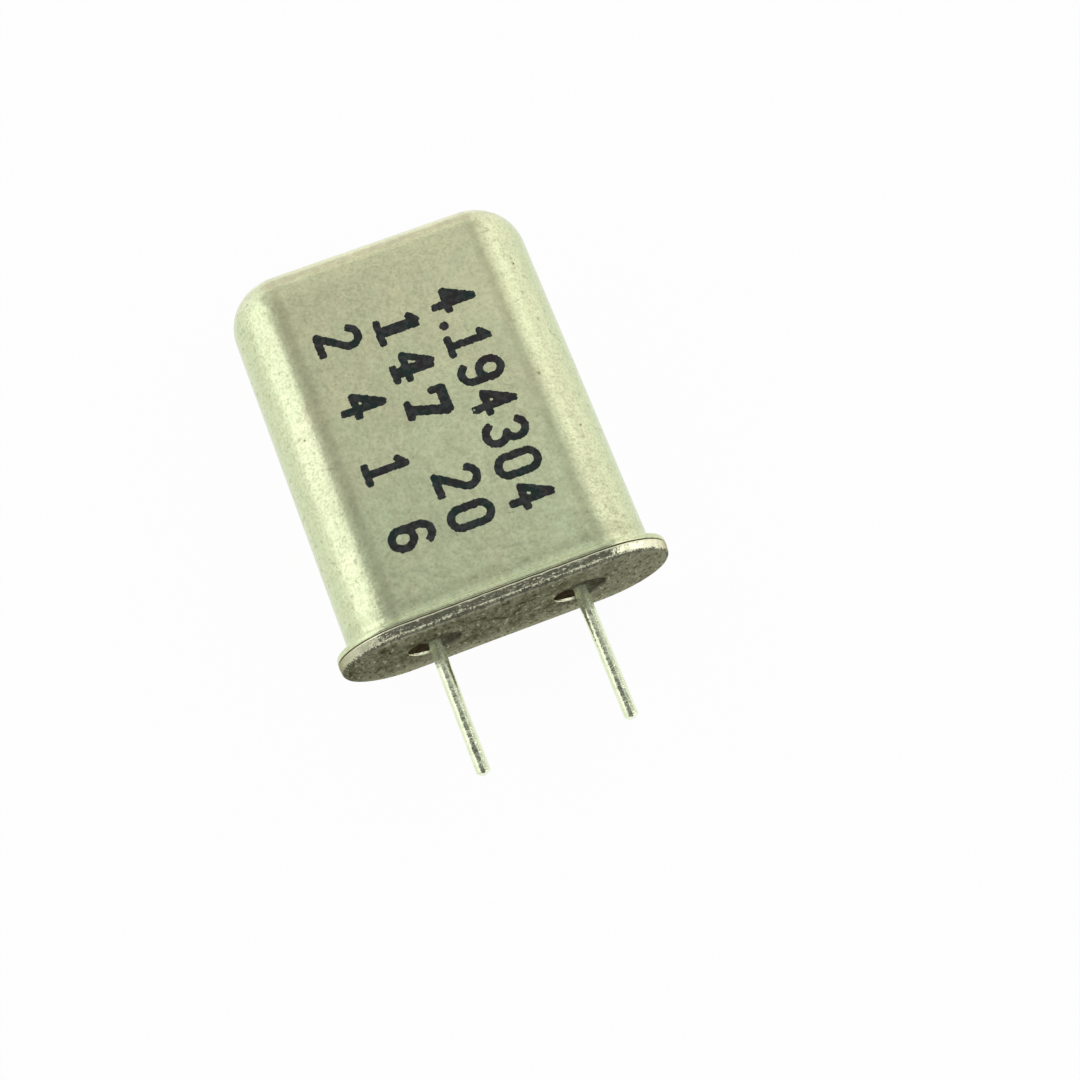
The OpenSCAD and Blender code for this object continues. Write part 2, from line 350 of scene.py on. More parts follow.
def build_base(material):
    """The base: its edge carried round the outline, with the height of its rim waved by RIM_WAVE sin(9 x
    + 4 normal x), and two half plates round the seals."""
    foot, normal = outline_stations()
    profile = base_rim_profile()
    edge = swept(foot, normal, profile)
    rim_h = profile[:, 1]
    rim = (profile[:, 0] > FLANGE_R - 0.1) & (rim_h < BASE_T)
    wave = RIM_WAVE * np.sin(9.0 * foot[:, 0:1] + 4 * normal[:, 0:1])
    edge[:, :, 1] += wave * (rim & (rim_h > 0.01))[None, :]
    low, high = edge[:, 0][:, [0, 2]], edge[:, -1][:, [0, 2]]
    points = [edge.reshape(-1, 3)]
    quads = [grid_quads(len(foot), len(profile), close_rows=True)]
    for side in (1, -1):
        plate = half_plate(low, high, side)
        first = sum(len(part) for part in points)
        quads.append(grid_quads(plate.shape[0], plate.shape[1], close_columns=True, first=first))
        points.append(plate.reshape(-1, 3))
    points, quads = np.concatenate(points), np.concatenate(quads)
    add_piece("eyelet_base", points, quads, material, "base_metal", "base_plate")


# ---------------------------------------------------------------- seals and leads
def build_seal(name, side, material, stands_for):
    """A ring of glass turned about the lead, with a hollow meniscus below: the arc through both of its
    rims."""
    half = (SEAL_R - WIRE_R) / 2
    hollow_r = (half * half + MENISCUS * MENISCUS) / (2 * MENISCUS)
    reach = math.degrees(math.asin(half / hollow_r))
    centre = (WIRE_R + half, SEAL_RECESS + MENISCUS - hollow_r)
    profile = joined(
        arc(centre, hollow_r, 90 + reach, 90 - reach, 18),
        line((SEAL_R, SEAL_RECESS), (SEAL_R, PLATEAU_TOP), 3),
        line((SEAL_R, PLATEAU_TOP), (WIRE_R, PLATEAU_TOP), 3),
        line((WIRE_R, PLATEAU_TOP), (WIRE_R, SEAL_RECESS), 3),
    )[:-1]
    points = revolved(profile, side * LEAD_X, SEAL_STEPS)
    quads = grid_quads(SEAL_STEPS, len(profile), close_rows=True, close_columns=True)
    add_piece(name, points.reshape(-1, 3), quads, material, "sealing_glass", stands_for)


def build_lead(name, side, material, stands_for):
    """A wire turned about its axis: a cut tip, the tinned length, a cone where the tin thins out, and
    bare wire up to the post. Low lumps of the tin are a product of two sines of height and angle. The tip
    rises by TIP_H |x| / r from a ridge, and the coined flat clips x at the post."""
    tip = -LEAD_LEN
    tin_end = -BARE_LEN - TIN_FADE
    profile = joined(
        line((0, tip), (TINNED_R - TIP_ROUND, tip), 5),
        arc((TINNED_R - TIP_ROUND, tip + TIP_ROUND), TIP_ROUND, -90, 0, 4),
        line((TINNED_R, tip + TIP_ROUND), (TINNED_R, tin_end), 96),
        line((TINNED_R, tin_end), (WIRE_R, -BARE_LEN), 12),
        line((WIRE_R, -BARE_LEN), (WIRE_R, PLATEAU_TOP), 10),
        line((WIRE_R, PLATEAU_TOP + 0.001), (WIRE_R, POST_TOP), 4),
        line((WIRE_R, POST_TOP), (0, POST_TOP), 3),
    )
    points = revolved(profile, 0.0, LEAD_STEPS)
    x, y, z = points[:, :, 0], points[:, :, 1], points[:, :, 2]
    angle = np.arctan2(z, x)
    coat = smooth_step(y, tip + 0.15, tip + 0.5) * smooth_step(-y, 0.55, 0.9)
    lump = 0.5 + 0.5 * np.sin(5.1 * y + 2 * angle + side) * np.sin(2.3 * y - angle + 1.7 * side)
    shrink = 1 - TIN_LUMPS * coat * lump
    near_tip = y < tip + TIP_REACH
    x, z = x * shrink, z * shrink
    y = y + np.where(near_tip, TIP_H * np.abs(x) / TINNED_R * (1 - (y - tip) / TIP_REACH), 0)
    post = y > PLATEAU_TOP + 0.0005
    limit = WIRE_R - COINED_T
    x = np.where(post & (side * x > limit), side * limit, x)
    points = np.stack([x + side * LEAD_X, y, z], 2)
    quads = grid_quads(LEAD_STEPS, len(profile), close_rows=True)
    add_piece(name, points.reshape(-1, 3), quads, material, "lead_wire", stands_for)


# ---------------------------------------------------------------- the printed marking
# Half widths of strokes, half sizes of the figures, and how far a stroke's cut end stands past its path
STROKE = 0.148
HEAVY = 0.205
SERIF = 0.14
GLYPH_HALF_W = 0.31
GLYPH_HALF_H = 0.64
END_REACH = 0.12
FIRST_SEED = 11

# The film's grid and its reach, how deep its underside lies in the face, how thick it is next to its edge,
# how much it rises over how far inwards, and what share of its way a point in an inner corner slides
INK_CELL = 0.021
INK_REACH_U = 0.66
INK_REACH_V = 0.86
INK_SUNK = 0.003
INK_EDGE = 0.004
INK_RISE = 0.007
INK_ROUND = 0.06
INNER_CORNER = 0.45


def ellipse_run(centre_u, centre_v, radius_u, radius_v, from_deg, to_deg, steps=14):
    """Points of an ellipse arc: centre + (radius u cos a, radius v sin a)."""
    a = np.radians(np.linspace(from_deg, to_deg, steps + 1))
    return np.stack([centre_u + radius_u * np.cos(a), centre_v + radius_v * np.sin(a)], 1)


def glyph_strokes():
    """Each glyph as a list of (path, half width). A path is points (u, v), where u runs along the line of
    text and v up the glyph, in mm from the glyph's middle."""
    w, h = GLYPH_HALF_W, GLYPH_HALF_H
    zero = np.concatenate([ellipse_run(0, h - w, w, w, 0, 180), ellipse_run(0, w - h, w, w, 180, 360),
                           [[w, h - w]]])
    six = np.concatenate([ellipse_run(0.02, h - w - 0.02, w, w + 0.02, 38, 180), [[0.02 - w, -0.3]]])
    six_bowl = ellipse_run(0, -0.29, w, 0.35, 0, 360, 24)
    two = np.concatenate([ellipse_run(0, h - w, w, w, 165, -30), [[-w, -h]], [[w + 0.02, -h]]])
    three = np.concatenate([ellipse_run(-0.01, 0.32, w - 0.01, 0.32, 150, -78),
                            ellipse_run(-0.01, -0.31, w + 0.02, 0.33, 82, -155)])
    four = [[0.12, h], [-w - 0.02, -0.22], [w + 0.04, -0.22]]
    return {
        "0": [(zero, STROKE)],
        "1": [([[0.02, h], [0.02, -h]], STROKE),
              ([[0.0, h - 0.02], [-0.2, 0.42]], STROKE - 0.01),
              ([[-0.27, -h], [0.31, -h]], STROKE - 0.01)],
        "2": [(two, STROKE)],
        "3": [(three, STROKE)],
        "4": [(four, STROKE), ([[0.12, h], [0.12, -h]], STROKE)],
        "6": [(six, STROKE), (six_bowl, STROKE)],
        "9": [(-six, STROKE), (-six_bowl, STROKE)],
        ".": [(ellipse_run(0, 0, 0.06, 0.06, 0, 360), 0.11)],
        "heavy 1": [([[0.04, h - 0.06], [0.04, 0.08 - h]], HEAVY),
                    ([[-0.02, h - 0.02], [-0.24, 0.44]], SERIF),
                    ([[-0.32, 0.02 - h], [0.40, 0.02 - h]], SERIF)],
        "heavy 4": [([[0.06, h - 0.02], [-0.40, -0.20]], SERIF),
                    ([[-0.40, -0.22], [0.44, -0.22]], SERIF),
                    ([[0.13, h - 0.08], [0.13, 0.08 - h]], HEAVY),
                    ([[-0.08, 0.02 - h], [0.38, 0.02 - h]], SERIF)],
        "heavy 7": [([[-0.38, h - 0.08], [0.38, h - 0.08]], HEAVY - 0.02),
                    ([[-0.40, h - 0.05], [-0.40, 0.24]], SERIF),
                    ([[0.37, h - 0.10], [0.02, 0.05 - h]], HEAVY - 0.02),
                    ([[-0.22, 0.02 - h], [0.26, 0.02 - h]], SERIF)],
    }


# Each glyph's name, and the x and y of its middle on the face
MARKING = [
    ("4", 1.93, 10.09), (".", 1.36, 9.27), ("1", 1.93, 8.53), ("9", 1.93, 7.42), ("4", 1.93, 6.33),
    ("3", 1.93, 5.22), ("0", 1.92, 4.10), ("4", 1.92, 3.00),
    ("heavy 1", -0.03, 9.80), ("heavy 4", -0.04, 8.40), ("heavy 7", -0.04, 6.95),
    ("2", -0.05, 4.25), ("0", -0.05, 3.02),
    ("2", -1.95, 10.02), ("4", -1.97, 7.69), ("1", -1.98, 5.40), ("6", -1.99, 3.04),
]


def stroke_depth(u, v, strokes):
    """How deep a point lies inside the strokes: the largest of half width - distance to a stroke's path.
    Corners of a path are round, and its two ends are cut flat, END_REACH beyond its first and last
    points."""
    depth = np.full(u.shape, -9.0)
    for path, half_width in strokes:
        path = np.array(path)
        a, b = path[:-1], path[1:]
        along = b - a
        length = np.maximum(np.hypot(along[:, 0], along[:, 1]), 1e-9)
        du = u[..., None] - a[:, 0]
        dv = v[..., None] - a[:, 1]
        run = (du * along[:, 0] + dv * along[:, 1]) / length
        held = np.clip(run, 0, length) / length
        inside = half_width - np.hypot(du - held * along[:, 0], dv - held * along[:, 1])
        inside[..., 0] = np.minimum(inside[..., 0], END_REACH + run[..., 0])
        inside[..., -1] = np.minimum(inside[..., -1], END_REACH + length[-1] - run[..., -1])
        depth = np.maximum(depth, inside.max(-1))
    return depth


def ragged(u, v, seed):
    """An uneven print edge, in mm: a sum of six plane waves of seeded directions and lengths of 0.06 to
    0.3 mm."""
    pick = np.random.default_rng(seed)
    offset = np.zeros(u.shape)
    waves = ((0.30, 0.006), (0.21, 0.006), (0.14, 0.005), (0.10, 0.005), (0.075, 0.004), (0.06, 0.003))
    for length, size in waves:
        heading, phase = pick.uniform(0, 2 * np.pi, 2)
        offset += size * np.sin(2 * np.pi / length * (u * np.cos(heading) + v * np.sin(heading)) + phase)
    return offset


def glyph_surface(strokes, middle_x, middle_y, seed):
    """One glyph's film of ink on a square grid. Cells inside the strokes are kept, if one of their
    corners is off the edge. Edge points slide to the strokes' edge along the slope of the depth, those in
    an inner corner less far, so that no cell folds. The film's top rises with the depth to its full
    thickness."""
    cell = INK_CELL
    across, along = np.arange(-INK_REACH_U, INK_REACH_U, cell), np.arange(-INK_REACH_V, INK_REACH_V, cell)
    u, v = np.meshgrid(across, along, indexing="ij")
    depth = stroke_depth(u, v, strokes) + ragged(u, v, seed)
    slope_u, slope_v = np.gradient(depth, cell)
    inside = depth > -0.35 * cell
    keep = inside[:-1, :-1] & inside[1:, :-1] & inside[1:, 1:] & inside[:-1, 1:]
    held = np.zeros(u.shape, int)
    for i, j in ((0, 0), (1, 0), (1, 1), (0, 1)):
        held[i: i + keep.shape[0], j: j + keep.shape[1]] += keep
    edge = (held > 0) & (held < 4)
    full = held == 4
    keep = keep & (full[:-1, :-1] | full[1:, :-1] | full[1:, 1:] | full[:-1, 1:])
    steep = np.maximum(slope_u ** 2 + slope_v ** 2, 0.2)
    move = np.where(edge, np.clip(depth, -cell, cell), 0) / steep
    move = move * np.where(held == 3, INNER_CORNER, 1.0)
    u = u - move * slope_u
    v = v - move * slope_v
    film = INK_RISE * smooth_step(np.where(edge, 0, depth), 0, INK_ROUND)
    x = middle_x + v
    y = middle_y - u
    bottom = END_R + sheet_wave(x, y) - INK_SUNK
    top = bottom + np.where(edge, 0, INK_EDGE) + film
    quads = grid_quads(u.shape[0], u.shape[1]).reshape(keep.shape + (4,))[keep]
    upper = np.stack([x, y, top], 2).reshape(-1, 3)
    lower = np.stack([x, y, bottom], 2).reshape(-1, 3)
    quads = np.concatenate([quads[:, ::-1], quads + len(upper)])
    points = np.concatenate([upper, lower])
    used, quads = np.unique(quads, return_inverse=True)
    return points[used], quads.reshape(-1, 4)


def build_marking(material):
    """All glyphs as one film of ink."""
    shapes = glyph_strokes()
    points, quads, count = [], [], 0
    for seed, (name, x, y) in enumerate(MARKING):
        part_points, part_quads = glyph_surface(shapes[name], x, y, seed + FIRST_SEED)
        points.append(part_points)
        quads.append(part_quads + count)
        count += len(part_points)
    add_piece("ink_marking", np.concatenate(points), np.concatenate(quads), material, "marking_ink")


# ---------------------------------------------------------------- node helpers
def feed(value, socket):
    """Links an output socket to an input, or writes a plain value on it. A plain colour is (red, green,
    blue)."""
    if isinstance(value, bpy.types.NodeSocket):
        socket.id_data.links.new(value, socket)
    elif socket.type == "RGBA":
        socket.default_value = (*value, 1)
    else:
        socket.default_value = value


def new_node(kind, given, **settings):
    """A shader node with its settings. Given holds its inputs' values by name or number, and the node
    goes into the tree of the first of them that is a socket."""
    tree = next(value.id_data for value in given.values() if isinstance(value, bpy.types.NodeSocket))
    node = tree.nodes.new("ShaderNode" + kind)
    for name, setting in settings.items():
        setattr(node, name, setting)
    for key, value in given.items():
        feed(value, node.inputs[key])
    return node


def maths(operation, *values, clamp=False):
    """One Math node's output."""
    return new_node("Math", dict(enumerate(values)), operation=operation, use_clamp=clamp).outputs[0]


def times(first, second, clamp=False):
    """The product of two values."""
    return maths("MULTIPLY", first, second, clamp=clamp)


def total(*weighted):
    """The sum of values times weights."""
    result = None
    for value, weight in weighted:
        part = times(value, weight)
        result = part if result is None else maths("ADD", result, part)
    return result


def blend(share, first, second):
    """The first colour where share is 0, the second where it is 1, and a mix between."""
    return new_node("Mix", {"Factor": share, "A": first, "B": second}, data_type="RGBA").outputs["Result"]


def coated(colour, *coats):
    """A colour with coats laid over it in order. Each coat is (where it lies, how strong it is there, its
    colour)."""
    for where, strength, coat in coats:
        if strength != 1:
            where = times(where, strength)
        colour = blend(where, colour, coat)
    return colour


def spread(value, low, high, to_low=0.0, to_high=1.0):
    """Maps low..high of a value to to_low..to_high, clamped, with a smooth step."""
    given = {"Value": value, "From Min": low, "From Max": high, "To Min": to_low, "To Max": to_high}
    return new_node("MapRange", given, interpolation_type="SMOOTHSTEP").outputs["Result"]


def noise(vector, scale, detail=2.0, roughness=0.5, distortion=0.0):
    """A Noise node's value."""
    given = {"Vector": vector, "Scale": scale, "Detail": detail, "Roughness": roughness,
             "Distortion": distortion}
    return new_node("TexNoise", given).outputs["Fac"]


def stretched(vector, scale, turn=(0.0, 0.0, 0.0)):
    """The vector, scaled and then turned by a Mapping node."""
    return new_node("Mapping", {"Vector": vector, "Scale": scale, "Rotation": turn}).outputs["Vector"]


def axes_of(vector):
    """The X, Y and Z of a vector."""
    return new_node("SeparateXYZ", {0: vector}).outputs


def from_nearest_lead(x):
    """How far X lies to the right of the nearer lead's axis, in mm."""
    return maths("WRAP", maths("SUBTRACT", x, LEAD_X), LEAD_X, -LEAD_X)


def new_group(name, inputs, outputs):
    """A shader node group that takes a Vector and the named numbers, and gives the named numbers. Returns
    the group, its input node's outputs and its output node's inputs."""
    group = bpy.data.node_groups.new(name, "ShaderNodeTree")
    group.interface.new_socket("Vector", in_out="INPUT", socket_type="NodeSocketVector")
    for label, value in inputs.items():
        socket = group.interface.new_socket(label, in_out="INPUT", socket_type="NodeSocketFloat")
        socket.default_value = value
    for label in outputs:
        group.interface.new_socket(label, in_out="OUTPUT", socket_type="NodeSocketFloat")
    entry = group.nodes.new("NodeGroupInput")
    leave = group.nodes.new("NodeGroupOutput")
    return group, entry.outputs, leave.inputs


def place(group, **values):
    """Puts a group in the tree of its Vector, feeds its inputs and gives its outputs."""
    return new_node("Group", values, node_tree=group).outputs


# ---------------------------------------------------------------- shared effects
def make_satin_grain():
    """Fine grain of drawn or plated metal: two sizes of noise as a height, and as a mask the specks where
    the finer one is below the limit."""
    group, given, out = new_group("satin grain", {"Size": 0.1, "Limit": 0.44}, ("Height", "Specks"))
    per_mm = maths("DIVIDE", 1.0, given["Size"])
    fine = noise(given["Vector"], per_mm, 2.0, 0.55)
    coarse = noise(given["Vector"], times(per_mm, 0.37), 2.0, 0.5)
    feed(total((fine, 0.65), (coarse, 0.35)), out["Height"])
    feed(spread(fine, given["Limit"], maths("SUBTRACT", given["Limit"], 0.11)), out["Specks"])
    return group


def make_mottle():
    """Slow cloudy variation between 0 and 1."""
    group, given, out = new_group("mottle", {"Size": 1.5}, ("Value",))
    cloud = noise(given["Vector"], maths("DIVIDE", 1.0, given["Size"]), 4.0, 0.6, 0.3)
    feed(spread(cloud, 0.33, 0.67), out["Value"])
    return group


def make_hair_scratches():
    """Hair-like scratches: thin contour lines of a stretched noise, kept only where a second noise is
    high. There are two sets of them, in different directions."""
    group, given, out = new_group("hair scratches", {"Width": 0.006, "Amount": 0.5}, ("Mask",))
    masks = []
    sets = (((0, 0, 0.5), (0.28, 1.1, 0.6), 0.0), ((0.2, 0, -0.9), (0.9, 0.22, 0.6), 7.3))
    for turn, scale, shift in sets:
        moved = {0: given["Vector"], 1: (shift, shift * 0.7, -shift)}
        moved = new_node("VectorMath", moved, operation="ADD").outputs[0]
        run = noise(stretched(moved, scale, turn), 1.0, 1.5, 0.4, 0.5)
        off = maths("ABSOLUTE", maths("SUBTRACT", run, 0.5))
        thin = maths("SUBTRACT", 1.0, maths("DIVIDE", off, given["Width"]), clamp=True)
        shown = noise(moved, 0.55, 1.0)
        limit = maths("SUBTRACT", 0.85, times(given["Amount"], 0.5))
        kept = times(maths("SUBTRACT", shown, limit), 12.0, clamp=True)
        masks.append(times(thin, kept))
    feed(maths("MAXIMUM", *masks), out["Mask"])
    return group


def make_pits():
    """Small round pits and specks of dirt: the middles of some cells of a Voronoi texture, on slightly bent
    coordinates."""
    group, given, out = new_group("pits", {"Spacing": 0.6, "Radius": 0.12, "Share": 0.4}, ("Mask",))
    bent = {0: noise(given["Vector"], 9.0), 1: (0.05, -0.04, 0.03), 2: given["Vector"]}
    bent = new_node("VectorMath", bent, operation="MULTIPLY_ADD").outputs[0]
    per_mm = maths("DIVIDE", 1.0, given["Spacing"])
    cells = new_node("TexVoronoi", {"Vector": bent, "Scale": per_mm}).outputs
    red, green, _ = new_node("SeparateColor", {0: cells["Color"]}).outputs
    chosen = maths("LESS_THAN", red, given["Share"])
    radius = times(given["Radius"], maths("MULTIPLY_ADD", green, 0.8, 0.35))
    depth = maths("SUBTRACT", 1.0, maths("DIVIDE", cells["Distance"], radius), clamp=True)
    feed(times(depth, chosen), out["Mask"])
    return group


satin_grain = make_satin_grain()
mottle = make_mottle()
hair_scratches = make_hair_scratches()
pits = make_pits()


def clouds(vector, size):
    """The mottle of one size, in mm."""
    return place(mottle, Vector=vector, Size=size)["Value"]


# ---------------------------------------------------------------- materials
def new_material(name):
    """A material, and in its tree the object's own coordinates in millimetres."""
    material = bpy.data.materials.new(name)
    material.use_nodes = True
    where = material.node_tree.nodes.new("ShaderNodeTexCoord")
    return material, stretched(where.outputs["Object"], (1 / MM, 1 / MM, 1 / MM))


def finished(material, height, depth, **inputs):
    """The material, with a Bump node on the normal of its Principled node and the other named inputs fed.
    A height of 1 stands for the depth, in thousandths of a millimetre. Spaces in names are written as
    underscores."""
    shader = material.node_tree.nodes["Principled BSDF"]
    bump = new_node("Bump", {"Height": height, "Distance": depth * MM * MM})
    feed(bump.outputs["Normal"], shader.inputs["Normal"])
    for name, value in inputs.items():
        feed(value, shader.inputs[name.replace("_", " ")])
    return material


def make_nickel_silver():
    """Satin nickel silver of the can: champagne metal that turns green in patches, with fine grain and
    cloudy tarnish, dark specks and flecks, and hair scratches. The rounded sides carry painted light and
    shade: they are lighter than the flat face, the right one darker and yellower, and both darker and
    greener towards their outer edge. Painted shade darkens the edges of the flat and a band above the bend
    of the flange, lies as a brownish band round the closed end and as a brown line in the seam under the
    flange. The highest grain is painted pale as glints."""
    material, mm = new_material("nickel silver")
    x, y, _ = axes_of(mm)
    out_x = maths("SUBTRACT", maths("ABSOLUTE", x), HALF_STRAIGHT)
    side = spread(out_x, 0.20, 0.60)
    grain = place(satin_grain, Vector=mm, Size=0.10, Limit=0.50)
    flecks = place(satin_grain, Vector=mm, Size=0.22, Limit=0.39)["Specks"]
    cloud = clouds(mm, 1.9)
    hue = clouds(stretched(mm, (1.0, 0.7, 1.0), (0.4, 0.9, 0.3)), 1.25)
    patch = clouds(mm, 0.33)
    brushed = noise(stretched(mm, (5.0, 0.8, 5.0)), 1.0, 3.0, 0.55)
    hairs = place(hair_scratches, Vector=mm, Width=0.0045, Amount=0.42)["Mask"]
    dirt = place(pits, Vector=mm, Spacing=0.85, Radius=0.10, Share=0.30)["Mask"]
    dirt = times(dirt, maths("MULTIPLY_ADD", side, 1.2, 0.3), clamp=True)
    flecks = times(flecks, maths("MULTIPLY_ADD", side, 0.26, 0.18))
    crowd = clouds(stretched(mm, (1.0, 1.0, 1.0), (0.7, 0.2, 0.5)), 0.55)
    specks = times(grain["Specks"], maths("MULTIPLY_ADD", side, 0.08, 0.14))
    specks = times(specks, maths("MULTIPLY_ADD", crowd, 0.8, 0.45))
    # Painted shade: darker lines along the shoulders where the flat face turns into the rounded sides, and
    # a darker band on the face just above the bend of the flange.
    shoulder_shade = times(spread(out_x, -0.12, 0.05), spread(out_x, 0.34, 0.18))
    flange_foot_shade = times(spread(y, 0.85, 1.0), spread(y, 1.35, 1.10))
    painted_shade_lines = maths("MAXIMUM", shoulder_shade, times(flange_foot_shade, 0.8))
    # Painted shade: a darker brownish band round the curve of the closed end, patchy and weaker on the
    # sides; it is also a little rougher there.
    crown_shade = times(spread(y, UNIT_H - 0.95, UNIT_H - 0.72), spread(y, UNIT_H - 0.42, UNIT_H - 0.60))
    crown_shade = times(crown_shade, maths("MULTIPLY_ADD", patch, 0.35, 0.55))
    crown_shade = times(crown_shade, maths("MULTIPLY_ADD", side, -0.65, 1.0))
    low = blend(hue, (0.820, 0.880, 0.563), (0.754, 0.874, 0.563))
    high = blend(hue, (0.892, 0.876, 0.557), (0.840, 0.874, 0.551))
    # Painted light and shade on the rounded sides: a lighter colour than the flat face, darker and yellower
    # on the right side, and darker and greener towards their outer edge.
    rounded_side_light_and_shade = coated(
        blend(hue, (0.885, 0.930, 0.635), (0.835, 0.925, 0.610)),
        (spread(x, 0.0, 1.0, 0.0, 0.7), 1, (0.865, 0.880, 0.555)),
        (spread(out_x, 1.08, 1.55, 0.0, 0.9), 1, (0.620, 0.715, 0.440)),
    )
    colour = coated(
        blend(side, blend(spread(y, 2.0, 11.5), low, high), rounded_side_light_and_shade),
        (cloud, 0.24, (0.720, 0.710, 0.460)),
        (patch, 0.30, (0.620, 0.700, 0.430)),
        (spread(brushed, 0.48, 0.30, 0.0, 0.25), 1, (0.62, 0.61, 0.40)),
        (painted_shade_lines, 0.28, (0.44, 0.45, 0.27)),
        (crown_shade, 1, (0.56, 0.53, 0.34)),
        (spread(grain["Height"], 0.60, 0.36, 0.0, 0.22), 1, (0.42, 0.44, 0.27)),
        (specks, 1, (0.34, 0.38, 0.20)),
        (flecks, 1, (0.26, 0.28, 0.15)),
        (hairs, 0.6, (0.28, 0.27, 0.17)),
        # Painted glints: the highest grain is coloured pale.
        (spread(grain["Height"], 0.60, 0.70, 0.0, 0.35), 1, (0.96, 0.98, 0.74)),
        (dirt, 0.85, (0.12, 0.12, 0.06)),
        # Painted shade: a brown line in the seam under the can's flange.
        (spread(y, BASE_T + 0.032, BASE_T + 0.008, 0.0, 0.80), 1, SEAM_SHADE_BROWN),
    )
    rough = total((grain["Height"], 0.10), (cloud, 0.03), (patch, 0.04), (dirt, 0.2), (crown_shade, 0.08))
    grip = times(grain["Height"], maths("MULTIPLY_ADD", side, 1.20, 0.25))
    height = total((grip, 1.2), (patch, 0.3), (cloud, 1.6), (brushed, 0.2), (hairs, -0.5), (flecks, -0.4),
                   (dirt, -1.4))
    return finished(material, height, 4.0, Base_Color=colour, Metallic=1.0,
                    Roughness=maths("ADD", rough, 0.13))


def make_base_metal():
    """The base: a smooth drawn rim with a painted highlight at its right end, painted shade at its left end
    and a painted highlight along its upper edge, and a brown line of painted shade in the seam above. Its
    lower face is dull and painted dark, a painted dark reflection: the dark coat ends in a broken line on
    the rolled edge, is mottled with bright specks, and is painted lighter towards the back, the right and
    the front edge. The dark paint is left off the left half of each seal hole's lip, which shows bright
    there as a painted highlight."""
    material, mm = new_material("base metal")
    x, y, z = axes_of(mm)
    coarse = stretched(mm, (1.0, 1.0, 0.55))
    grain = place(satin_grain, Vector=coarse, Size=0.14, Limit=0.48)
    cloud = clouds(stretched(mm, (1.0, 1.0, 0.5)), 0.62)
    patch = clouds(coarse, 0.34)
    crumbs = noise(coarse, 5.5, 4.0, 0.75)
    broken = noise(mm, 6.5, 3.0, 0.7)
    chips = noise(mm, 17.0, 2.0, 0.6)
    burnish = noise(stretched(mm, (3.0, 0.6, 3.0)), 1.0, 4.0, 0.6)
    bright_specks = spread(crumbs, 0.55, 0.65)
    from_lead = from_nearest_lead(x)
    reach = maths("SQRT", total((times(from_lead, from_lead), 1.0), (times(z, z), 1.0)))
    # Painted dark reflection: the mask of the lower face's dark paint reaches up to a broken line on the
    # rolled edge and round each seal hole. It leaves out the left half of each hole's lip, which keeps the
    # bright rim colour as a painted highlight.
    lip = times(spread(reach, SEAL_R + 0.030, SEAL_R + 0.016), spread(from_lead, -0.05, -0.35))
    edge_y = total((y, 1.0), (maths("SUBTRACT", broken, 0.5), 0.06), (maths("SUBTRACT", chips, 0.5), 0.30))
    scale = maths("MAXIMUM", spread(edge_y, 0.120, 0.080), spread(reach, SEAL_R + 0.3, SEAL_R + 0.1))
    scale = times(scale, maths("SUBTRACT", 1.0, lip))
    rim = coated(
        blend(spread(burnish, 0.56, 0.38, 0.0, 0.55), (0.79, 0.81, 0.59), (0.55, 0.56, 0.40)),
        # Painted highlight at the rim's right end, and painted shade at its left end.
        (spread(x, 4.00, 4.45), 1, (1.00, 0.99, 0.73)),
        (spread(x, -4.00, -4.45, 0.0, 0.6), 1, (0.40, 0.42, 0.29)),
        (patch, 0.22, (0.66, 0.60, 0.38)),
        (grain["Specks"], 0.22, (0.22, 0.21, 0.14)),
        # Painted highlight along the rim's upper rounded edge.
        (spread(y, 0.33, 0.37), 1, (0.95, 0.93, 0.70)),
        # Painted shade: a brown line in the seam above the rim.
        (spread(y, BASE_T - 0.024, BASE_T - 0.008, 0.0, 0.80), 1, SEAM_SHADE_BROWN),
    )
    # Painted light: the dark coat turns lighter towards the right, the back and the front edge of the lower
    # face.
    thin = maths("MAXIMUM", spread(x, 1.0, 5.0, 0.0, 0.42), spread(z, -0.8, -2.1, 0.0, 0.90))
    front = times(spread(z, 1.75, 2.12, 0.0, 0.50), spread(y, 0.030, 0.005))
    # The lower face's painted dark reflection: mottled, with bright specks, and darker where it turns up
    # into the roll.
    dark = coated(
        blend(cloud, (0.036, 0.035, 0.023), (0.220, 0.225, 0.158)),
        (patch, 0.60, (0.268, 0.276, 0.190)),
        (maths("MAXIMUM", thin, front), 1, (0.42, 0.43, 0.31)),
        (grain["Specks"], 0.60, (0.014, 0.012, 0.007)),
        (bright_specks, 0.75, (0.62, 0.63, 0.46)),
        (spread(y, 0.005, 0.040, 0.0, 0.6), 1, (0.110, 0.110, 0.078)),
    )
    dusty = times(scale, maths("MULTIPLY_ADD", bright_specks, -0.5, 0.5))
    rough = total((grain["Height"], 0.08), (cloud, 0.05), (scale, 0.24), (patch, 0.04))
    nicks = spread(noise(stretched(mm, (6.0, 20.0, 6.0)), 1.0, 3.0, 0.65), 0.61, 0.74)
    nicks = times(nicks, spread(y, 0.02, 0.08))
    height = total((grain["Height"], 0.7), (patch, 0.8), (cloud, 1.6), (burnish, 1.5), (nicks, 1.3),
                   (times(crumbs, spread(y, 0.03, 0.0)), 3.0))
    return finished(material, height, 6.0, Base_Color=blend(scale, rim, dark),
                    Metallic=maths("SUBTRACT", 1.0, dusty), Roughness=maths("ADD", rough, 0.05),
                    Specular_IOR_Level=0.0, Specular_Tint=(0.45, 0.43, 0.33))


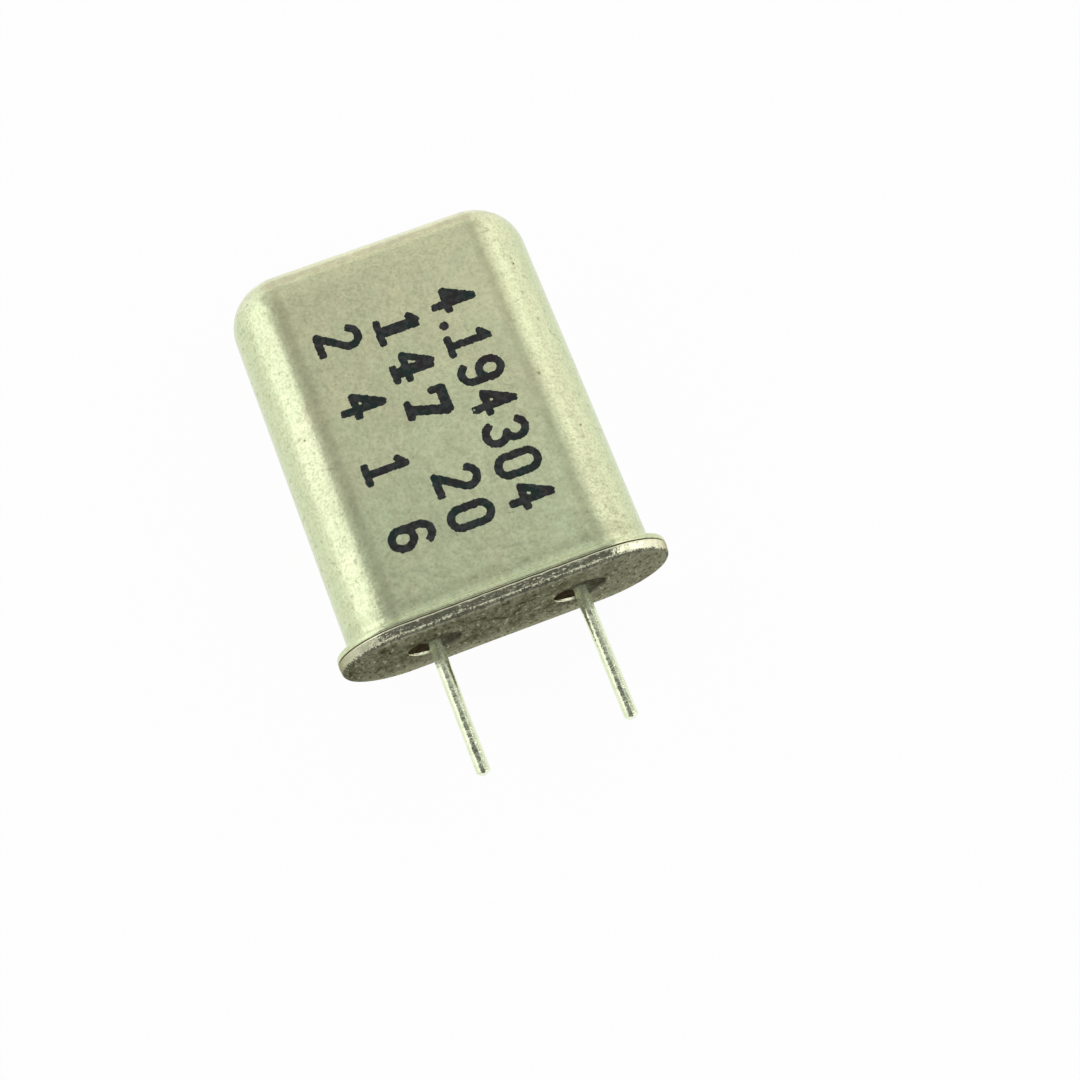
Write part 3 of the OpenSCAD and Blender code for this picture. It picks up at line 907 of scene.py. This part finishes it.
def make_lead_wire():
    """Tinned wire: soft silver-white metal with a faint green cast, lines along the wire, small lumps of
    tin and a few dark specks. Where the wire leaves the base it is duller and slightly coated."""
    material, mm = new_material("tinned wire")
    root = spread(axes_of(mm)[1], -0.95, -0.35)
    grain = place(satin_grain, Vector=mm, Size=0.08, Limit=0.46)
    drawn = noise(stretched(mm, (14.0, 0.9, 14.0)), 1.0, 3.0, 0.6)
    patch = clouds(mm, 0.26)
    dirt = place(satin_grain, Vector=mm, Size=0.20, Limit=0.37)["Specks"]
    colour = coated(
        blend(patch, (0.880, 0.930, 0.690), (0.775, 0.850, 0.600)),
        (spread(drawn, 0.44, 0.30, 0.0, 0.40), 1, (0.46, 0.53, 0.34)),
        (grain["Specks"], 0.22, (0.36, 0.39, 0.28)),
        (dirt, 0.35, (0.18, 0.20, 0.14)),
    )
    rough = total((grain["Height"], 0.07), (patch, 0.05), (drawn, 0.04), (root, 0.14))
    height = total((grain["Height"], 1.0), (drawn, 1.0), (patch, 1.4), (dirt, -0.4))
    return finished(material, height, 2.4, Base_Color=colour,
                    Metallic=maths("MULTIPLY_ADD", root, -0.30, 1.0), Roughness=maths("ADD", rough, 0.05))


def make_sealing_glass():
    """Dark sealing glass: nearly black brown, with small bubbles, and painted light that makes it paler
    over the right and the front of each seal."""
    material, mm = new_material("sealing glass")
    x, _, z = axes_of(mm)
    cloud = clouds(mm, 0.25)
    bubbles = place(pits, Vector=mm, Spacing=0.14, Radius=0.2, Share=0.35)["Mask"]
    # Painted light: the glass is paler over the right and the front of each seal.
    seal_painted_light = maths("MAXIMUM", spread(from_nearest_lead(x), -0.05, 0.20), spread(z, -0.22, 0.05))
    colour = coated(
        blend(cloud, (0.030, 0.022, 0.011), (0.060, 0.046, 0.026)),
        (seal_painted_light, 1, blend(cloud, (0.062, 0.060, 0.038), (0.150, 0.148, 0.098))),
        (bubbles, 0.6, (0.12, 0.10, 0.065)),
    )
    return finished(material, total((cloud, 1.0), (bubbles, -0.6)), 2.0, Base_Color=colour,
                    Roughness=spread(cloud, 0.0, 1.0, 0.34, 0.50), Specular_IOR_Level=0.0)


def make_marking_ink():
    """Printed ink: green-black, thin in places, with pinholes that show the metal below."""
    material, mm = new_material("marking ink")
    grain = place(satin_grain, Vector=mm, Size=0.07)
    cloud = clouds(mm, 0.60)
    thin = clouds(mm, 0.20)
    holes = place(pits, Vector=mm, Spacing=0.42, Radius=0.15, Share=0.15)["Mask"]
    bare = spread(times(holes, 2.0), 0.45, 0.95, 0.0, 0.8)
    colour = coated(
        blend(cloud, (0.0240, 0.0170, 0.0190), (0.0050, 0.0260, 0.0200)),
        (spread(thin, 0.45, 0.75), 0.60, (0.055, 0.056, 0.056)),
        (grain["Specks"], 0.30, (0.060, 0.066, 0.050)),
        (bare, 1, (0.52, 0.53, 0.35)),
    )
    height = total((grain["Height"], 1.0), (thin, 0.8), (bare, -1.2))
    return finished(material, height, 3.5, Base_Color=colour, Metallic=bare,
                    Roughness=spread(thin, 0.0, 1.0, 0.48, 0.62), Specular_IOR_Level=0.25)


def make_nickel_ribbon():
    """Bright nickel ribbon of the clips, with rolling lines and a little tarnish."""
    material, mm = new_material("nickel ribbon")
    lines = noise(stretched(mm, (14.0, 1.0, 14.0)), 1.0, 3.0, 0.6)
    cloud = clouds(mm, 0.6)
    return finished(material, total((lines, 1.0), (cloud, 0.6)), 2.5, Metallic=1.0,
                    Base_Color=blend(cloud, (0.74, 0.72, 0.66), (0.62, 0.59, 0.52)),
                    Roughness=spread(lines, 0.3, 0.7, 0.18, 0.34))


def make_quartz():
    """Lapped quartz: clear, finely frosted, with faint clouds."""
    material, mm = new_material("lapped quartz")
    grain = place(satin_grain, Vector=mm, Size=0.05)["Height"]
    cloud = clouds(mm, 1.4)
    return finished(material, total((grain, 1.0), (cloud, 0.5)), 2.0, Transmission_Weight=0.75, IOR=1.54,
                    Base_Color=blend(cloud, (0.90, 0.94, 0.93), (0.84, 0.89, 0.88)),
                    Roughness=spread(grain, 0.3, 0.7, 0.30, 0.50))


def make_silver_film():
    """Evaporated silver: a bright matt film with slight yellow tarnish."""
    material, mm = new_material("silver film")
    grain = place(satin_grain, Vector=mm, Size=0.05)["Height"]
    cloud = clouds(mm, 0.9)
    return finished(material, total((grain, 1.0), (cloud, 0.4)), 1.8, Metallic=1.0,
                    Base_Color=blend(cloud, (0.88, 0.88, 0.85), (0.80, 0.77, 0.68)),
                    Roughness=spread(grain, 0.3, 0.7, 0.26, 0.42))


def make_silver_cement():
    """Conductive cement: grey resin full of silver flakes."""
    material, mm = new_material("silver cement")
    grain = place(satin_grain, Vector=mm, Size=0.09)["Height"]
    flakes = place(pits, Vector=mm, Spacing=0.09, Radius=0.45, Share=0.5)["Mask"]
    return finished(material, total((grain, 1.0), (flakes, 0.8)), 6.0,
                    Base_Color=blend(flakes, (0.40, 0.39, 0.36), (0.78, 0.77, 0.73)),
                    Metallic=spread(flakes, 0.0, 1.0, 0.35, 0.85),
                    Roughness=spread(grain, 0.3, 0.7, 0.45, 0.62))


def paint_nodes(material, *names):
    """Gives CAD nodes that stay as they are a finished material."""
    for name in names:
        for place_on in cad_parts[name].material_slots:
            place_on.material = material


# ---------------------------------------------------------------- camera, light and floor
CAMERA_AT = (-4.14000496, -14.54024462, 57.42725051)
CAMERA_RIGHT = (0.93327665, -0.35910226, -0.0063451)
CAMERA_UP = (0.34506922, 0.89162641, 0.29313746)
FOCAL_LENGTH = 62.893
SENSOR_WIDTH = 36.0

# The dome's level at each X of the direction, from the left end to the right one
DOME_LEVELS = [
    (-1.0, 1.12), (-0.93, 1.18), (-0.55, 1.20), (-0.49, 1.14), (-0.45, 0.80), (-0.40, 0.54), (-0.25, 0.50),
    (-0.05, 0.50), (0.02, 0.51), (0.12, 0.76), (0.20, 0.68), (0.30, 0.60), (0.36, 0.69), (0.46, 0.80),
    (0.55, 0.94), (0.62, 1.06), (0.74, 1.16), (0.82, 1.04), (0.90, 0.93), (1.0, 0.86),
]
OVAL_POWER = 8.0

FLOOR_HALF = 600.0
FLOOR_STEPS = 8
FLOOR_WHITE = 0.96


def place_camera():
    """The camera, from its place in mm and its right and up directions."""
    data = bpy.data.cameras.new("camera")
    data.lens = FOCAL_LENGTH
    data.sensor_width = SENSOR_WIDTH
    data.clip_start = 0.001
    data.clip_end = 10.0
    camera = bpy.data.objects.new("camera", data)
    bpy.context.scene.collection.objects.link(camera)
    right, up = Vector(CAMERA_RIGHT), Vector(CAMERA_UP)
    turn = Matrix((right, up, right.cross(up))).transposed().to_4x4()
    camera.matrix_world = Matrix.Translation(Vector(CAMERA_AT) * MM) @ turn
    bpy.context.scene.camera = camera


def grey(level):
    """A neutral colour."""
    return (level, level, level)


def light_scene():
    """A dome of soft light. Overhead its level follows the direction's X: dim in the middle, with a wide
    bright window at each side. It is dimmer towards the closed end. Towards the leads two strips across
    follow, which are bright and dim in turn at the left and dim and bright at the right, then plain
    white, then a dim end. A dark oval with square shoulders stands overhead for the camera, and the
    horizon is white all round."""
    world = bpy.data.worlds.new("dome")
    bpy.context.scene.world = world
    world.use_nodes = True
    tree = world.node_tree
    x, y, z = axes_of(tree.nodes.new("ShaderNodeTexCoord").outputs["Generated"])
    across = new_node("ValToRGB", {"Fac": maths("MULTIPLY_ADD", x, 0.5, 0.5)})
    stops = across.color_ramp.elements
    for number, (at, level) in enumerate(DOME_LEVELS):
        stop = stops[number] if number < 2 else stops.new(1.0)
        stop.position = 0.5 + 0.5 * at
        stop.color = (*grey(level), 1)
    far = times(spread(y, 0.42, 0.80), spread(maths("ABSOLUTE", x), 0.55, 0.20))
    to_right = spread(x, 0.30, 0.44)
    powers = []
    for axis, shift, half in ((x, 0.12, 0.58), (y, 0.19, 0.425)):
        share = maths("DIVIDE", maths("ADD", axis, shift), half)
        powers.append(maths("POWER", maths("ABSOLUTE", share), OVAL_POWER))
    off = maths("POWER", maths("ADD", *powers), 1 / OVAL_POWER)
    oval = times(spread(off, 1.05, 0.95), spread(z, 0.0, 0.12))
    colour = coated(
        across.outputs["Color"],
        (far, 1, grey(0.65)),
        (spread(y, 0.27, 0.23), 1, blend(to_right, grey(1.40), grey(0.42))),
        (spread(y, 0.17, 0.12), 1, blend(to_right, grey(0.70), grey(1.55))),
        (spread(y, 0.02, -0.30), 1, grey(1.0)),
        (spread(y, -0.35, -0.85), 1, grey(0.55)),
        (times(oval, spread(y, -0.55, -0.05)), 1, grey(0.125)),
        (spread(z, 0.26, 0.12), 1, grey(1.0)),
    )
    feed(colour, tree.nodes["Background"].inputs["Color"])
    feed(1.0, tree.nodes["Background"].inputs["Strength"])


def lay_floor():
    """A plain pale floor under the part: one large square grid, slightly uneven in colour and roughness.
    Seen straight or in a reflection it is nearly all plain white."""
    low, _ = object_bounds()
    ticks = np.linspace(-FLOOR_HALF, FLOOR_HALF, FLOOR_STEPS + 1)
    x, y = np.meshgrid(ticks, ticks, indexing="ij")
    points = np.stack([x, y, np.full(x.shape, low[2] / MM)], 2).reshape(-1, 3)
    mesh = bpy.data.meshes.new("floor")
    quads = grid_quads(FLOOR_STEPS + 1, FLOOR_STEPS + 1)
    mesh.from_pydata((points * MM).tolist(), [], quads.tolist())
    floor = bpy.data.objects.new("floor", mesh)
    bpy.context.scene.collection.objects.link(floor)
    material, mm = new_material("pale floor")
    tree = material.node_tree
    shader = tree.nodes["Principled BSDF"]
    cloud = clouds(mm, 40.0)
    feed(blend(cloud, grey(0.93), grey(0.945)), shader.inputs["Base Color"])
    feed(spread(cloud, 0.0, 1.0, 0.85, 0.95), shader.inputs["Roughness"])
    feed(0.1, shader.inputs["Specular IOR Level"])
    path = tree.nodes.new("ShaderNodeLightPath").outputs
    seen = maths("MAXIMUM", path["Is Camera Ray"], path["Is Glossy Ray"])
    seen = maths("MAXIMUM", seen, path["Is Transmission Ray"])
    white = tree.nodes.new("ShaderNodeEmission")
    feed(grey(1.0), white.inputs["Color"])
    feed(1.0, white.inputs["Strength"])
    mixed = new_node("MixShader", {0: times(seen, FLOOR_WHITE), 1: shader.outputs[0], 2: white.outputs[0]})
    feed(mixed.outputs[0], tree.nodes["Material Output"].inputs["Surface"])
    mesh.materials.append(material)


# ---------------------------------------------------------------- the scene
bpy.context.scene.view_settings.view_transform = "Standard"
place_camera()
light_scene()
lay_floor()

build_can(make_nickel_silver())
build_base(make_base_metal())
glass = make_sealing_glass()
wire = make_lead_wire()
build_seal("left_seal_glass", -1, glass, "glass_seal_left")
build_seal("right_seal_glass", 1, glass, "glass_seal_right")
build_lead("left_lead_wire", -1, wire, "lead_left")
build_lead("right_lead_wire", 1, wire, "lead_right")
build_marking(make_marking_ink())
paint_nodes(make_nickel_ribbon(), "spring_clip_left", "spring_clip_right")
paint_nodes(make_quartz(), "quartz_blank")
paint_nodes(make_silver_film(), "electrode_front", "electrode_back")
paint_nodes(make_silver_cement(), "cement_left", "cement_right")
